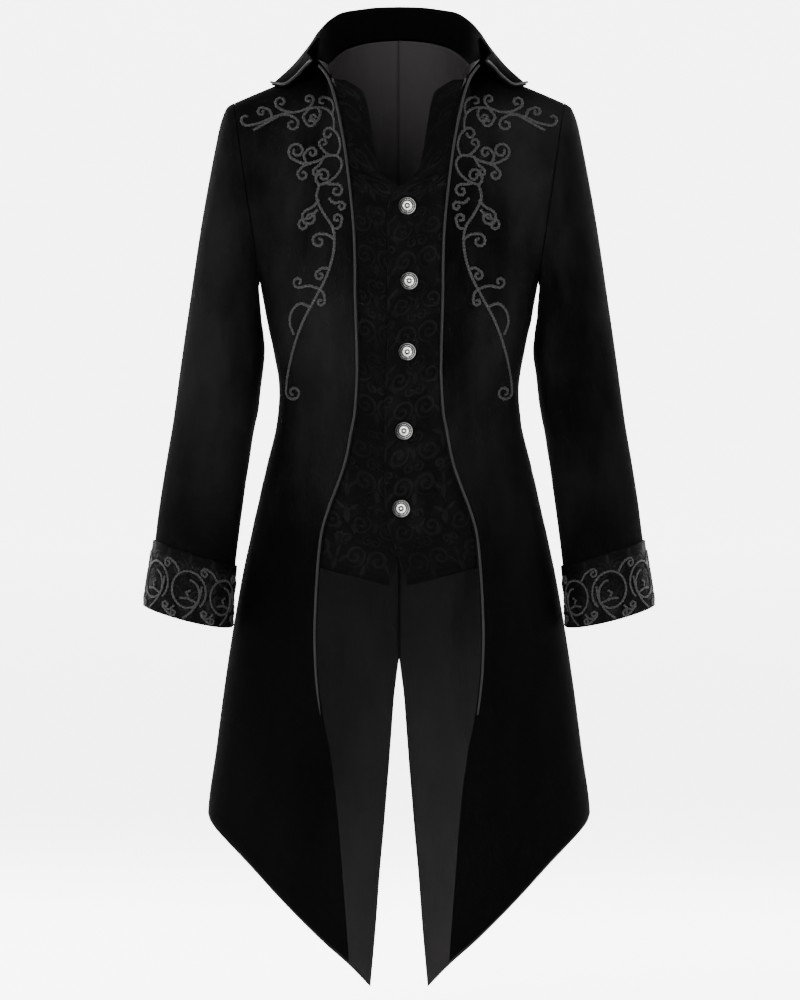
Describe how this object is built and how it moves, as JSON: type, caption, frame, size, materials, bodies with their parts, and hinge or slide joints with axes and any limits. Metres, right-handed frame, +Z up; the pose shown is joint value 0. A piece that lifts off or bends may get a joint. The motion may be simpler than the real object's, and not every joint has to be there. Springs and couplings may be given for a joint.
{
  "type": "tailcoat",
  "caption": "Black velvet tailcoat with pointed tails, grey piping, brocade cuffs and attached button-front brocade waistcoat, hollow as if worn.",
  "frame": {"origin": "the middle of the neck opening, where the wearer's neck and shoulders hold the coat up", "axes": "+Z up, the front faces -Y, and +X is towards the wearer's left"},
  "size_m": [0.6334, 0.2817, 1.2285],
  "materials": {
    "black_velvet": "short velvet pile",
    "black_brocade": "woven jacquard, tone on tone",
    "grey_lining": "satin",
    "grey_piping": "twisted cord",
    "antique_silver": "antique silver, darkened in its hollows"
  },
  "bodies": {
    "root": {"front_left": "black_velvet", "front_right": "black_velvet", "back_left": "black_velvet", "back_right": "black_velvet", "lining_back_left": "grey_lining", "lining_back_right": "grey_lining", "sleeve_left": "black_velvet", "sleeve_right": "black_velvet", "cuff_left": "black_brocade", "cuff_right": "black_brocade", "collar": "black_velvet", "vest_left": "black_brocade", "vest_right": "black_brocade", "button_1": "antique_silver", "button_2": "antique_silver", "button_3": "antique_silver", "button_4": "antique_silver", "button_5": "antique_silver", "piping_left": "grey_piping", "piping_right": "grey_piping", "piping_collar": "grey_piping"}
  },
  "joints": []
}
